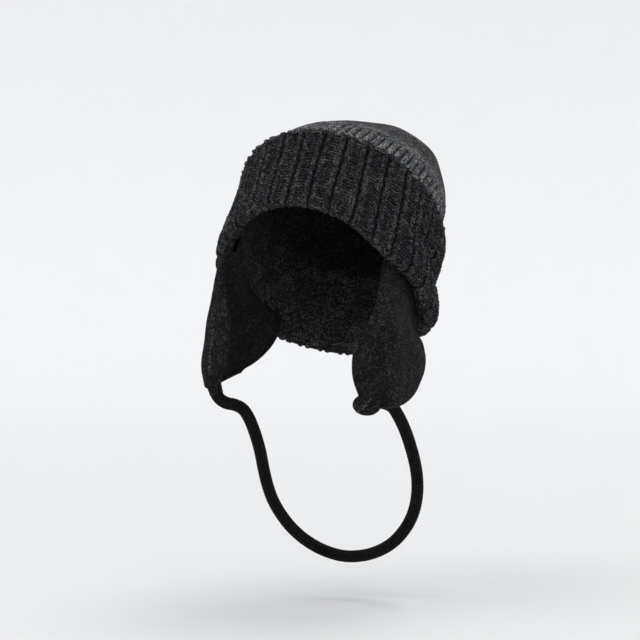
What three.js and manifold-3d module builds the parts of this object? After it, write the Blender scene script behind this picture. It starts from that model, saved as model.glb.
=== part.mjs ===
// A knitted cap with a deep turned-up ribbed cuff, two padded ear flaps and one knitted tie cord,
// in the form it takes on a raised head: the cap leans back, and flaps and cord hang plumb.
//
// Millimetres, +Z up, -Y the way the face looks, +X the wearer's left. The origin is the centre
// of the head opening, where the head sits.
//
// The knitted tube is described in its own cap frame, whose +Z runs up the cap. A place on it has
// an azimuth in degrees (0 at the forehead, 90 over the wearer's left ear) and a climb: 0 level
// with the centre of the opening, 1 at the cuff's top edge, 2 at the top of the crown.
import * as THREE from "three";
import { mergeVertices } from "three/addons/utils/BufferGeometryUtils.js";
import Module from "manifold-3d";

const { degToRad, euclideanModulo, lerp, smoothstep } = THREE.MathUtils;

// Driving dimensions
const CAP_LEAN = degToRad(37); // the cap frame, back from plumb
const FIT_GAP = 0.5; // between neighbouring pieces
const CORD_GAP = 0.3; // between the cord's ends and the flaps

const OPENING = { halfWidth: 85, halfLength: 99 };
const CUFF_EDGE = { halfWidth: 89, halfLength: 94, forward: 18.5 }; // the wall under the cuff's top
const CUFF_TOP = { height: 79, frontRise: 8 }; // at the side, and how much higher in front
const DOME = { height: 167, backward: 25, fullness: 1.7, rounding: 4.6 };

// The crown is fuller over the wearer's left temple: how many degrees and how much of the climb
// that spreads, and how far it stands out.
const SHOULDER = { azimuth: 58, climb: 1.74, spread: 34, reach: 0.16, out: 6 };

const CROWN_WALL = 4;
const CROWN_RIBS = 60;
const CROWN_RIB_DEPTH = 1.3;
const CROWN_RIB_TOP = 1.26; // the climb where ribs give way to plain knitting
const CROWN_GATHERS = 10; // soft pleats that draw the crown in round its top
const GATHER_DEPTH = 2.5;
const HEM_DEPTH = 4; // the crown's lower edge above the fold of the cuff
const HEM_STEP = { from: 5, to: 11 }; // degrees past a flap in which the crown's edge comes down
const RIB_FOOT = 0.95; // the climb under the cuff where the crown's ribs fade out

const CUFF_WALL = 5.5;
const CUFF_RIBS = 30;
const CUFF_GROOVE_DEPTH = 2.2;
const CUFF_LADDER_DEPTH = 0.7;

const FLAP_END = 124; // azimuth of a flap's rear edge under the cuff
const FLAP_TUCK = 14; // how far a flap reaches up inside the cuff
const FLAP_THICKNESS = 8;
const FLAP_GRID = { columns: 15, rows: 19 };
const KNOB = { place: [66, -60, -100.5], radius: 12.5, flatness: 0.74 };

const CORD_DIAMETER = 10.8;
const CORD_SIDES = 10;
const CORD_STEPS = 56;
const CORD_ROOT = { left: 12, right: 14 }; // lengths of the plugs that the cord's ends run into

const COLOURS = { knit: 0x2b2b2e, cord: 0x1f2022 };

// The cuff round the head: the height of its fold, and how far the fold swells past the top of
// the cuff.
const CUFF_LINE = [
  { azimuth: -180, fold: 1, swell: 4 },
  { azimuth: -150, fold: -2, swell: 5 },
  { azimuth: -120, fold: -8, swell: 8 },
  { azimuth: -90, fold: -12, swell: 11 },
  { azimuth: -60, fold: -5, swell: 10 },
  { azimuth: -30, fold: 4, swell: 4 },
  { azimuth: 0, fold: 8, swell: 1 },
  { azimuth: 30, fold: 4, swell: 2 },
  { azimuth: 60, fold: -8, swell: 6 },
  { azimuth: 90, fold: -4, swell: 10 },
  { azimuth: 120, fold: 0, swell: 11 },
  { azimuth: 150, fold: 3, swell: 6 },
];

// The fold dips behind the wearer's left ear: how many degrees the dip spreads, and its depth.
const FOLD_DIP = { azimuth: 101, spread: 14, depth: 13 };

// Local fullness of the cuff, each round a place at an azimuth and a share of the cuff's height:
// how many degrees and what share it spreads, and how far it stands out. The wearer's left side
// is pushed into a puff with a crease under it.
const CUFF_PUFFS = [
  { azimuth: 104, rise: 0.78, spread: 22, reach: 0.2, out: 6 },
  { azimuth: 98, rise: 0.42, spread: 24, reach: 0.08, out: -5 },
];

// Each row is one level of an ear flap below the cuff: its front and rear edges, how far out the
// sheet bows between them, and how far its middle hangs below the line from edge to edge.
const LEFT_LEVELS = [
  { front: [69, -57.5, -26], rear: [76.5, 36.5, -55], bow: 100, sag: 0 },
  { front: [57, -63, -48], rear: [80.5, 32.5, -64], bow: 98, sag: 3 },
  { front: [54.5, -64, -74], rear: [82, 25, -74], bow: 97, sag: 8 },
  { front: [61, -62, -96], rear: [81, 13, -84], bow: 96.5, sag: 13 },
];
const RIGHT_LEVELS = [
  { front: [-71, -56, -8], rear: [-80.5, 36.5, -60], bow: -108, sag: 0 },
  { front: [-64, -62, -36], rear: [-86, 32, -66], bow: -113, sag: 2 },
  { front: [-65, -65, -60], rear: [-91.5, 24, -72], bow: -113, sag: 5 },
  { front: [-74, -63, -84], rear: [-94, 12, -78], bow: -102, sag: 9 },
];

// A flap's front edge starts at an azimuth under the cuff, and its sheet flares out below the fold.
const LEFT_FLAP = { name: "ear_flap_left", side: 1, start: 63, flare: 1, levels: LEFT_LEVELS };
const RIGHT_FLAP = { name: "ear_flap_right", side: -1, start: 51, flare: 11, levels: RIGHT_LEVELS };

// The cord's centre line, from the wearer's left flap round behind the neck to the right flap.
const CORD_ROUTE = [
  [64, -45, -97.5],
  [66, -34, -99.5],
  [68.2, -23, -101.2],
  [70.3, -13, -105],
  [72, -5, -112.2],
  [74.4, 0.5, -121],
  [76.2, 5.5, -130],
  [77.5, 11.5, -141],
  [78.4, 18, -153.5],
  [78.5, 24, -167],
  [77.4, 28, -181],
  [74, 32, -195],
  [68.4, 35, -208],
  [60, 38, -220],
  [48.7, 41.5, -231],
  [34.5, 44, -239.8],
  [17, 45.5, -245.8],
  [-2, 45, -247.5],
  [-19.5, 40, -243],
  [-33.5, 30.5, -233.5],
  [-43, 19, -221],
  [-48.5, 7, -207],
  [-51.5, -4, -192.5],
  [-52.7, -12.5, -178],
  [-53, -19.5, -163],
  [-53, -25.5, -148.5],
  [-53.5, -31, -136.5],
  [-54.5, -36.8, -125.5],
  [-56.3, -42.3, -115.5],
  [-59.6, -47.3, -107.8],
  [-65, -52, -104],
  [-71.2, -56, -102.3],
  [-76.2, -58.7, -98.9],
  [-78.9, -60, -94.8],
  [-80.2, -60.5, -90.2],
];

// Catmull-Rom through one column of the cuff's table, all the way round.
function cuffLine(azimuth, column) {
  const count = CUFF_LINE.length;
  const turn = (euclideanModulo(azimuth - CUFF_LINE[0].azimuth, 360) * count) / 360;
  const i = Math.floor(turn);
  const t = turn - i;
  const [p0, p1, p2, p3] = [-1, 0, 1, 2].map((k) => CUFF_LINE[(i + k + count) % count][column]);
  const bend = 2 * p0 - 5 * p1 + 4 * p2 - p3 + t * (3 * (p1 - p2) + p3 - p0);
  return p1 + 0.5 * t * (p2 - p0 + t * bend);
}

function foldHeight(azimuth) {
  const across = (euclideanModulo(azimuth - FOLD_DIP.azimuth + 180, 360) - 180) / FOLD_DIP.spread;
  return cuffLine(azimuth, "fold") - FOLD_DIP.depth * Math.exp(-across * across);
}

function cuffTop(azimuth) {
  return CUFF_TOP.height + CUFF_TOP.frontRise * Math.cos(degToRad(azimuth));
}

function shoulder(azimuth, climb) {
  const across = (euclideanModulo(azimuth - SHOULDER.azimuth + 180, 360) - 180) / SHOULDER.spread;
  const along = (climb - SHOULDER.climb) / SHOULDER.reach;
  const kept = 1 - smoothstep(climb, 1.85, 2);
  return SHOULDER.out * kept * Math.exp(-across * across - along * along);
}

// The crown's plain outer surface at a climb, moved `out` from it.
function wallPoint(azimuth, climb, out) {
  const a = degToRad(azimuth);
  const over = Math.max(0, climb - 1);
  const low = Math.min(climb, 1);
  const size = Math.pow(1 - Math.pow(over, DOME.fullness), 1 / DOME.rounding);
  const halfWidth = lerp(OPENING.halfWidth, CUFF_EDGE.halfWidth, low);
  const halfLength = lerp(OPENING.halfLength, CUFF_EDGE.halfLength, low);
  const middle = lerp(-CUFF_EDGE.forward * low, DOME.backward, over);
  const full = out + shoulder(azimuth, climb);
  const height = lerp(low * cuffTop(azimuth), DOME.height + full, over);
  const pleat = 0.5 - 0.5 * Math.cos(CROWN_GATHERS * a);
  const side = full - GATHER_DEPTH * pleat * smoothstep(over, 0.5, 0.9);
  const x = (halfWidth + side) * size * Math.sin(a);
  const y = middle - (halfLength + side) * size * Math.cos(a);
  return new THREE.Vector3(x, y, height);
}

function wallAtHeight(azimuth, height, out) {
  return wallPoint(azimuth, height / cuffTop(azimuth), out);
}

// A closed body from rings of points. Neighbouring rings may hold whole multiples of each other's
// points, and a ring of one point is a pole.
function skin(rings, joinEnds = false) {
  const start = [];
  const points = [];
  for (const ring of rings) {
    start.push(points.length);
    points.push(...ring);
  }
  const faces = [];
  const band = (i, j) => {
    const [n, m] = [rings[i].length, rings[j].length];
    const most = Math.max(n, m);
    const from = (k) => start[i] + (Math.floor((k * n) / most) % n);
    const to = (k) => start[j] + (Math.floor((k * m) / most) % m);
    for (let k = 0; k < most; k++) {
      const [a, b, c, d] = [from(k), from(k + 1), to(k + 1), to(k)];
      if (a !== b) faces.push(a, b, c);
      if (c !== d) faces.push(a, c, d);
    }
  };
  for (let i = 0; i + 1 < rings.length; i++) band(i, i + 1);
  if (joinEnds) band(rings.length - 1, 0);
  const geometry = new THREE.BufferGeometry().setFromPoints(points);
  geometry.setIndex(faces);
  geometry.computeVertexNormals();
  return geometry;
}

function ring(count, place) {
  return Array.from({ length: count }, (_, k) => place((360 * k) / count));
}

function knit(name, geometry, colour = COLOURS.knit) {
  const material = new THREE.MeshStandardMaterial({ color: colour, roughness: 0.95, metalness: 0 });
  const mesh = new THREE.Mesh(geometry, material);
  mesh.name = name;
  return mesh;
}

// One rib's relief at `turn`, from 0 to 1 across the rib: a narrow groove at 0, a raised chain of
// stitches on each side of it, and a shallow ladder of stitches between.
function cuffRelief(turn) {
  const fromGroove = Math.min(turn, 1 - turn);
  const groove = 1 - smoothstep(fromGroove, 0, 0.16);
  const ladder = smoothstep(fromGroove, 0.24, 0.42);
  return -CUFF_GROOVE_DEPTH * groove - CUFF_LADDER_DEPTH * ladder;
}

function cuffPuff(azimuth, rise) {
  return CUFF_PUFFS.reduce((sum, puff) => {
    const across = (euclideanModulo(azimuth - puff.azimuth + 180, 360) - 180) / puff.spread;
    const along = (rise - puff.rise) / puff.reach;
    return sum + puff.out * Math.exp(-across * across - along * along);
  }, 0);
}

function cuff() {
  const samples = CUFF_RIBS * 6;
  const outside = [
    { rise: 0, wall: 0.35, swell: 0, relief: 0.2 },
    { rise: 0.03, wall: 1, swell: 0.75, relief: 1 },
    { rise: 0.1, wall: 1, swell: 1, relief: 1 },
    { rise: 0.22, wall: 1, swell: 0.9, relief: 1 },
    { rise: 0.34, wall: 1, swell: 0.65, relief: 1 },
    { rise: 0.42, wall: 1, swell: 0.5, relief: 1 },
    { rise: 0.5, wall: 1, swell: 0.38, relief: 1 },
    { rise: 0.64, wall: 1, swell: 0.2, relief: 1 },
    { rise: 0.8, wall: 1, swell: 0.07, relief: 1 },
    { rise: 0.98, wall: 1, swell: 0, relief: 1 },
    { rise: 1, wall: 0.6, swell: 0, relief: 0.3 },
  ];
  const inside = [0.98, 0.5, 0.01];
  const height = (az, rise) => lerp(foldHeight(az), cuffTop(az), rise);
  const rows = outside.map(({ rise, wall, swell, relief }) =>
    ring(samples, (az) => {
      const rib = cuffRelief(((az * CUFF_RIBS) / 360) % 1);
      const body = FIT_GAP + CUFF_WALL * wall + cuffLine(az, "swell") * swell + cuffPuff(az, rise);
      return wallAtHeight(az, height(az, rise), body + rib * relief);
    }),
  );
  for (const rise of inside)
    rows.push(ring(samples / 3, (az) => wallAtHeight(az, height(az, rise), FIT_GAP)));
  return knit("cuff", skin(rows, true));
}

// Height of the crown's lower edge: down inside the fold, and above a flap where one is tucked in.
function crownHem(azimuth) {
  const a = euclideanModulo(azimuth + 180, 360) - 180;
  const { start } = a > 0 ? LEFT_FLAP : RIGHT_FLAP;
  const fromFlap = Math.max(start - Math.abs(a), Math.abs(a) - FLAP_END);
  const room = 1 - smoothstep(fromFlap, HEM_STEP.from, HEM_STEP.to);
  return foldHeight(azimuth) + lerp(HEM_DEPTH, FLAP_TUCK + 2 * FIT_GAP, room);
}

function crown() {
  const coarse = CROWN_RIBS;
  const fine = CROWN_RIBS * 4;
  const domeClimbs = [1.995, 1.97, 1.92, 1.83, 1.7, 1.55, 1.38];
  const ribRows = [
    { climb: CROWN_RIB_TOP, depth: 0 },
    { climb: CROWN_RIB_TOP - 0.02, depth: 1 },
    { climb: 0.99, depth: 1 },
    { climb: RIB_FOOT, depth: 0.2 },
  ];
  const rows = [[wallPoint(0, 2, 0)]];
  for (const climb of domeClimbs) rows.push(ring(coarse, (az) => wallPoint(az, climb, 0)));
  for (const { climb, depth } of ribRows)
    rows.push(
      ring(depth > 0 ? fine : coarse, (az) => {
        const slot = Math.cos(degToRad(az * CROWN_RIBS)) > 0.5;
        return wallPoint(az, climb, slot ? -CROWN_RIB_DEPTH * depth : 0);
      }),
    );
  const hemRow = (up, out) =>
    ring(coarse, (az) => wallPoint(az, lerp(crownHem(az) / cuffTop(az), RIB_FOOT, up), out));
  rows.push(hemRow(0.5, 0), hemRow(0, 0), hemRow(0, -CROWN_WALL), hemRow(0.5, -CROWN_WALL));
  for (const climb of [1, 1.38, 1.7, 1.92])
    rows.push(ring(coarse, (az) => wallPoint(az, climb, -CROWN_WALL)));
  rows.push([wallPoint(0, 2, -CROWN_WALL)]);
  return knit("crown", skin(rows.toReversed()));
}

// A padded sheet with soft edges from a grid of points, thickened to both sides of them.
function paddedSheet(grid, thickness) {
  const [rows, columns] = [grid.length, grid[0].length];
  const normal = (i, j) => {
    const along = grid[i][Math.min(j + 1, columns - 1)].clone().sub(grid[i][Math.max(j - 1, 0)]);
    const down = grid[Math.min(i + 1, rows - 1)][j].clone().sub(grid[Math.max(i - 1, 0)][j]);
    return along.cross(down).normalize();
  };
  const half = (i, j) => {
    const fromSide = Math.min(j, columns - 1 - j);
    const fromEnd = Math.min(fromSide, rows - 1 - i);
    return 0.5 * thickness(i / (rows - 1)) * (0.4 + 0.6 * smoothstep(fromEnd, -0.5, 2));
  };
  const face = (side) =>
    grid.flatMap((row, i) =>
      row.map((p, j) => p.clone().addScaledVector(normal(i, j), side * half(i, j))),
    );
  const points = [...face(-1), ...face(1)];
  const faces = [];
  const quad = (a, b, c, d) => faces.push(a, b, c, a, c, d);
  const first = (i, j) => i * columns + j;
  const second = (i, j) => rows * columns + i * columns + j;
  for (let i = 0; i + 1 < rows; i++)
    for (let j = 0; j + 1 < columns; j++) {
      quad(second(i, j), second(i, j + 1), second(i + 1, j + 1), second(i + 1, j));
      quad(first(i, j), first(i + 1, j), first(i + 1, j + 1), first(i, j + 1));
    }
  const [m, n] = [rows - 1, columns - 1];
  for (let j = 0; j < n; j++) {
    quad(first(0, j), first(0, j + 1), second(0, j + 1), second(0, j));
    quad(second(m, j), second(m, j + 1), first(m, j + 1), first(m, j));
  }
  for (let i = 0; i < m; i++) {
    quad(first(i + 1, 0), first(i, 0), second(i, 0), second(i + 1, 0));
    quad(second(i + 1, n), second(i, n), first(i, n), first(i + 1, n));
  }
  const geometry = new THREE.BufferGeometry().setFromPoints(points);
  geometry.setIndex(faces);
  geometry.computeVertexNormals();
  return geometry;
}

const wasm = await Module();
wasm.setup();

function solidOf(geometry) {
  const bare = geometry.clone();
  bare.deleteAttribute("normal");
  bare.deleteAttribute("uv");
  const merged = mergeVertices(bare, 1e-3);
  const vertProperties = merged.attributes.position.array;
  const triVerts = new Uint32Array(merged.index.array);
  return new wasm.Manifold(new wasm.Mesh({ numProp: 3, vertProperties, triVerts }));
}

function joined(...geometries) {
  const solid = geometries.map(solidOf).reduce((whole, piece) => whole.add(piece));
  const { vertProperties, triVerts } = solid.getMesh();
  const geometry = new THREE.BufferGeometry();
  geometry.setAttribute("position", new THREE.BufferAttribute(vertProperties, 3));
  geometry.setIndex(new THREE.BufferAttribute(triVerts, 1));
  geometry.computeVertexNormals();
  return geometry;
}

// A plug of knitting that narrows to the cord and ends in a flat face across the cord's end.
function cordRoot(end, next, length) {
  const radius = CORD_DIAMETER / 2;
  const profile = [
    new THREE.Vector2(0, 0),
    new THREE.Vector2(radius + 0.6, 0),
    new THREE.Vector2(radius + 1, length * 0.3),
    new THREE.Vector2(radius + 1.6, length * 0.65),
    new THREE.Vector2(radius + 0.6, length * 0.9),
    new THREE.Vector2(0, length),
  ];
  const plug = new THREE.LatheGeometry(profile, 12);
  const direction = end.clone().sub(next).normalize();
  const upright = new THREE.Vector3(0, 1, 0);
  plug.applyQuaternion(new THREE.Quaternion().setFromUnitVectors(upright, direction));
  const face = end.clone().addScaledVector(direction, CORD_GAP);
  return plug.translate(face.x, face.y, face.z);
}

function flap({ name, side, start, flare, levels }, extras) {
  const { columns, rows } = FLAP_GRID;
  const leanAxis = new THREE.Vector3(1, 0, 0);
  const tucked = (u, { drop, out }) => {
    const azimuth = side * lerp(start, FLAP_END, u);
    const height = foldHeight(azimuth) + drop;
    return wallAtHeight(azimuth, height, out - FLAP_THICKNESS / 2).applyAxisAngle(leanAxis, -CAP_LEAN);
  };
  const hung = (u, { front, rear, bow, sag }) => {
    const [f, r] = [new THREE.Vector3(...front), new THREE.Vector3(...rear)];
    const frontBow = new THREE.Vector3(lerp(f.x, bow, 0.72), f.y - 3, lerp(f.z, r.z, 1 / 3));
    const rearBow = new THREE.Vector3(bow, lerp(f.y, r.y, 0.38), lerp(f.z, r.z, 2 / 3));
    const p = new THREE.CubicBezierCurve3(f, frontBow, rearBow, r).getPoint(u);
    p.z -= sag * 4 * u * (1 - u);
    return p;
  };
  const tucks = [
    { drop: FLAP_TUCK, out: 0 },
    { drop: 0, out: -1 },
    { drop: -11, out: flare },
  ];
  const strands = Array.from({ length: columns }, (_, j) => {
    const u = j / (columns - 1);
    const points = [...tucks.map((tuck) => tucked(u, tuck)), ...levels.map((level) => hung(u, level))];
    return new THREE.CatmullRomCurve3(points).getPoints(rows - 1);
  });
  if (side < 0) strands.reverse();
  const grid = Array.from({ length: rows }, (_, i) => strands.map((strand) => strand[i]));
  const thickness = (v) => FLAP_THICKNESS - 1 + smoothstep(v, 0.2, 0.5);
  return knit(name, joined(paddedSheet(grid, thickness), ...extras));
}

function tieCord() {
  const route = new THREE.CatmullRomCurve3(CORD_ROUTE.map((p) => new THREE.Vector3(...p)));
  const section = new THREE.Shape().absarc(0, 0, CORD_DIAMETER / 2, 0, 2 * Math.PI);
  // A full circle is drawn with twice its curveSegments.
  const sweep = { extrudePath: route, steps: CORD_STEPS, curveSegments: CORD_SIDES / 2 };
  return knit("tie_cord", new THREE.ExtrudeGeometry(section, sweep), COLOURS.cord);
}

const cordPoint = (k) => new THREE.Vector3(...CORD_ROUTE.at(k));
const knob = new THREE.SphereGeometry(KNOB.radius, 16, 10);
knob.scale(1, 1, KNOB.flatness);
knob.translate(...KNOB.place);

const worn = new THREE.Group();
worn.rotation.x = -CAP_LEAN;
worn.add(crown(), cuff());

const cap = new THREE.Group();
cap.add(worn);
cap.add(flap(LEFT_FLAP, [knob, cordRoot(cordPoint(0), cordPoint(1), CORD_ROOT.left)]));
cap.add(flap(RIGHT_FLAP, [cordRoot(cordPoint(-1), cordPoint(-2), CORD_ROOT.right)]));
cap.add(tieCord());

export default cap;
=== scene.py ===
"""Dresses a knitted earflap cap: ribbed cuff, plain crown, two padded ear flaps and a tie cord.

Metres, +Z up, -Y the way the face looks, +X the wearer's left. The head tube is described in its
own cap frame, which leans back from this one: a place on it has an azimuth in degrees (0 at the
forehead, 90 over the wearer's left ear) and a climb (0 at the opening, 1 at the top of the cuff,
2 at the top of the crown).
"""

import logging
import math
from collections.abc import Callable, Sequence
from dataclasses import dataclass, field
from enum import Enum

import bmesh
import bpy
import numpy as np
from bpy.types import ID, Material, Mesh, Node, NodeSocket, NodeTree, Object
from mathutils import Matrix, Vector


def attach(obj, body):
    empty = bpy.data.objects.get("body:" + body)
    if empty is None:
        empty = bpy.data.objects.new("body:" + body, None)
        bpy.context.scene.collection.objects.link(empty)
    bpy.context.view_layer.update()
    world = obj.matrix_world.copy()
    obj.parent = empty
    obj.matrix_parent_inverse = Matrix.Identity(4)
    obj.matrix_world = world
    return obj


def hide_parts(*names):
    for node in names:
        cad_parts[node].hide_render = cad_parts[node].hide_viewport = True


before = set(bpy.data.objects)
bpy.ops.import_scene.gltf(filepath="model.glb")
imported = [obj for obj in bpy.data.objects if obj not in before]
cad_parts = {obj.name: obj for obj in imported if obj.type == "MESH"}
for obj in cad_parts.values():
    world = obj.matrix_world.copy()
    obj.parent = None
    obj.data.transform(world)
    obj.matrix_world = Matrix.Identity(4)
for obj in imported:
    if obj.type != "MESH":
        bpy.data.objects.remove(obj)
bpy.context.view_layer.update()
LOG = logging.getLogger("cap")

Array = np.ndarray
Place = Callable[[Array, Array], Array]
Triple = tuple[float, float, float]
RGBA = tuple[float, float, float, float]
Bulge = tuple[float, float, float, float, float]

STITCH_MAP = "stitches"
# Per-point painted shading: positive is painted shade, negative is painted highlight, plus a random
# stitch tone.
PAINTED_SHADING = "depth"
PURL = "purl"
FIT_GAP = 0.0005


class Slot(Enum):
    """Material slots of the record."""

    PLAIN = "plain_knit"
    RIB = "rib_knit"
    FLAP = "flap_knit"
    CORD = "cord_knit"


# Curves and profiles


def smoothstep(x: Array, low: float, high: float) -> Array:
    """Cubic step from 0 at low to 1 at high.

    Args:
        x: Values to step.
        low: Where the step starts.
        high: Where it ends.

    Returns:
        Values from 0 to 1.
    """
    t = np.clip((x - low) / (high - low), 0.0, 1.0)
    return t * t * (3.0 - 2.0 * t)


def lerp(a: Array | float, b: Array | float, t: Array | float) -> Array | float:
    """Straight blend from a at t 0 to b at t 1."""
    return a + (b - a) * t


def soft_table(x: Array, table: Sequence[tuple[float, float]], soft: float) -> Array:
    """Reads a table of (place, value) rows with its corners rounded off.

    Args:
        x: Places to read.
        table: Rows in rising order of place.
        soft: Half the width over which a corner is rounded.

    Returns:
        The value at each place.
    """
    places, values = np.array(table, float).T
    before = np.interp(x - soft, places, values)
    after = np.interp(x + soft, places, values)
    return 0.25 * before + 0.5 * np.interp(x, places, values) + 0.25 * after


def bell(x: Array, y: Array | float = 0.0) -> Array:
    """Bell of height 1, whose sides fall over a distance of 1."""
    return np.exp(-(x**2) - y**2)


def turn_from(azimuth: Array, at: float) -> Array:
    """Degrees from one azimuth to another, the short way round."""
    return (azimuth - at + 180) % 360 - 180


def catmull_rom(points: Array, t: Array) -> Array:
    """Centripetal Catmull-Rom curve through points, evenly spread over t.

    Args:
        points: Control points, of shape (count, ..., 3).
        t: Places along the curve from 0 to 1, of shape (samples,).

    Returns:
        Points of shape (samples, ..., 3).
    """
    first = 2 * points[:1] - points[1:2]
    last = 2 * points[-1:] - points[-2:-1]
    padded = np.concatenate([first, points, last])
    count = len(points)
    at = np.clip(t, 0, 1) * (count - 1)
    i = np.minimum(at.astype(int), count - 2)
    w = (at - i).reshape((-1,) + (1,) * (points.ndim - 1))
    p0, p1, p2, p3 = (padded[i + k] for k in range(4))

    def knot(a: Array, b: Array) -> Array:
        """Parameter length between two neighbouring control points."""
        return np.maximum(np.sqrt(np.linalg.norm(b - a, axis=-1, keepdims=True)), 1e-6)

    d0, d1, d2 = knot(p0, p1), knot(p1, p2), knot(p2, p3)
    m1 = d1 * ((p1 - p0) / d0 - (p2 - p0) / (d0 + d1) + (p2 - p1) / d1)
    m2 = d1 * ((p2 - p1) / d1 - (p3 - p1) / (d1 + d2) + (p3 - p2) / d2)
    cubic = 2 * p1 - 2 * p2 + m1 + m2
    square = -3 * p1 + 3 * p2 - 2 * m1 - m2
    return p1 + w * (m1 + w * (square + w * cubic))


def stockinette(wale: Array, course: Array, slant: float = 0.9) -> Array:
    """Height of plain knitting, whose stitches are columns of V shapes.

    Args:
        wale: Place across the columns, one unit a column.
        course: Place along the columns, one unit a stitch.
        slant: How steeply the legs of a V rise.

    Returns:
        Heights from 0, between stitches, to 1, on top of a leg.
    """
    across = np.abs(2.0 * (wale % 1.0) - 1.0)
    along = (course - slant * across) % 1.0
    leg = 1.0 - (2.0 * across - 1.0) ** 4
    return leg * (0.25 + 0.75 * np.sin(np.pi * along))


def scatter(row: Array, column: Array) -> Array:
    """An unrelated value from 0 to 1 for each stitch, the same on every run.

    Args:
        row: Place along the columns, one unit a stitch.
        column: Number of the column.

    Returns:
        Values from 0 to 1.
    """
    return np.modf(np.abs(np.sin(12.9898 * np.floor(row) + 78.233 * np.floor(column))) * 437.585)[0]


def wander(azimuth: Array, rise: Array, phase: float) -> Array:
    """Slow waves that keep hand-worn knitting from being regular.

    Args:
        azimuth: Degrees round the cap.
        rise: Share of the height.
        phase: Tells one set of waves from another.

    Returns:
        Values of about -1 to 1.
    """
    a = np.radians(azimuth)
    slow = np.sin(3 * a + 2.1 * rise + phase) + 0.7 * np.sin(5 * a - 3.3 * rise + 2 * phase)
    fast = 0.5 * np.sin(11 * a + 5.0 * rise + 3 * phase) + 0.3 * np.sin(19 * a - 7 * rise + phase)
    return 0.4 * (slow + fast)


# Meshes


def close_seam(placed: Array, reach: float = 0.003) -> None:
    """Joins the first and last column of a grid that runs all the way round.

    Args:
        placed: Values by row and column, which it changes in place.
        reach: Columns that are nowhere further apart than this are a seam.
    """
    first, last = placed[:, 0], placed[:, -1]
    if np.abs(first[:, :3] - last[:, :3]).max() < reach:
        placed[:, 0] = placed[:, -1] = (first + last) / 2


def grid_mesh(columns: int, rows: int, place: Place, stitches: Place) -> Mesh:
    """A grid of faces laid out in space.

    Args:
        columns: Faces along u.
        rows: Faces along v.
        place: Maps u and v, each from 0 to 1, to x, y, z, painted shading and purl.
        stitches: Maps the corners of faces to stitches, given the middle of each corner's face too.

    Returns:
        The mesh, with its stitch map, and for each point its painted shading (painted shade where
        positive, painted highlight where negative) and whether it shows the purl side.
    """
    bm = bmesh.new()
    bm.loops.layers.uv.new(STITCH_MAP)
    bmesh.ops.create_grid(bm, x_segments=columns, y_segments=rows, size=0.5, calc_uvs=True)
    mesh = bpy.data.meshes.new("grid")
    bm.to_mesh(mesh)
    bm.free()
    flat = np.empty(len(mesh.vertices) * 3)
    mesh.vertices.foreach_get("co", flat)
    uv = flat.reshape(-1, 3)[:, :2] + 0.5
    placed = place(uv[:, 0], uv[:, 1])
    close_seam(placed.reshape(rows + 1, columns + 1, -1))
    mesh.vertices.foreach_set("co", placed[:, :3].ravel())
    for column, label in ((3, PAINTED_SHADING), (4, PURL)):
        values = mesh.attributes.new(label, "FLOAT", "POINT")
        values.data.foreach_set("value", placed[:, column].astype(np.float32))
    corners = np.empty(len(mesh.loops) * 2)
    layer = mesh.uv_layers[STITCH_MAP].uv
    layer.foreach_get("vector", corners)
    faces = corners.reshape(-1, 4, 2)
    middle = np.repeat(faces.mean(1), 4, axis=0)
    layer.foreach_set("vector", stitches(faces.reshape(-1, 2), middle).ravel())
    return mesh


def new_object(name: str, data: ID) -> Object:
    """Puts an object of the given data into the scene."""
    made = bpy.data.objects.new(name, data)
    bpy.context.scene.collection.objects.link(made)
    return made


def knitted_piece(
    name: str, meshes: Sequence[Mesh], finish: Material, stands_for: str
) -> Object:
    """Joins meshes into one closed piece that rides on the cap.

    Args:
        name: Name of the piece.
        meshes: Its parts, whose borders meet.
        finish: Its material.
        stands_for: Node that the piece replaces.

    Returns:
        The piece.
    """
    bm = bmesh.new()
    for mesh in meshes:
        bm.from_mesh(mesh)
        bpy.data.meshes.remove(mesh)
    border = [vert for vert in bm.verts if vert.is_boundary]
    bmesh.ops.remove_doubles(bm, verts=border, dist=5e-5)
    bmesh.ops.recalc_face_normals(bm, faces=bm.faces)
    joined = bpy.data.meshes.new(name)
    bm.to_mesh(joined)
    open_edges = sum(1 for edge in bm.edges if not edge.is_manifold)
    bm.free()
    joined.shade_smooth()
    joined.materials.append(finish)
    piece = new_object(name, joined)
    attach(piece, "root")
    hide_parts(stands_for)
    triangles = sum(len(face.vertices) - 2 for face in joined.polygons)
    LOG.info("%s: %d triangles, %d open edges", name, triangles, open_edges)
    return piece


# The head tube


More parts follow.
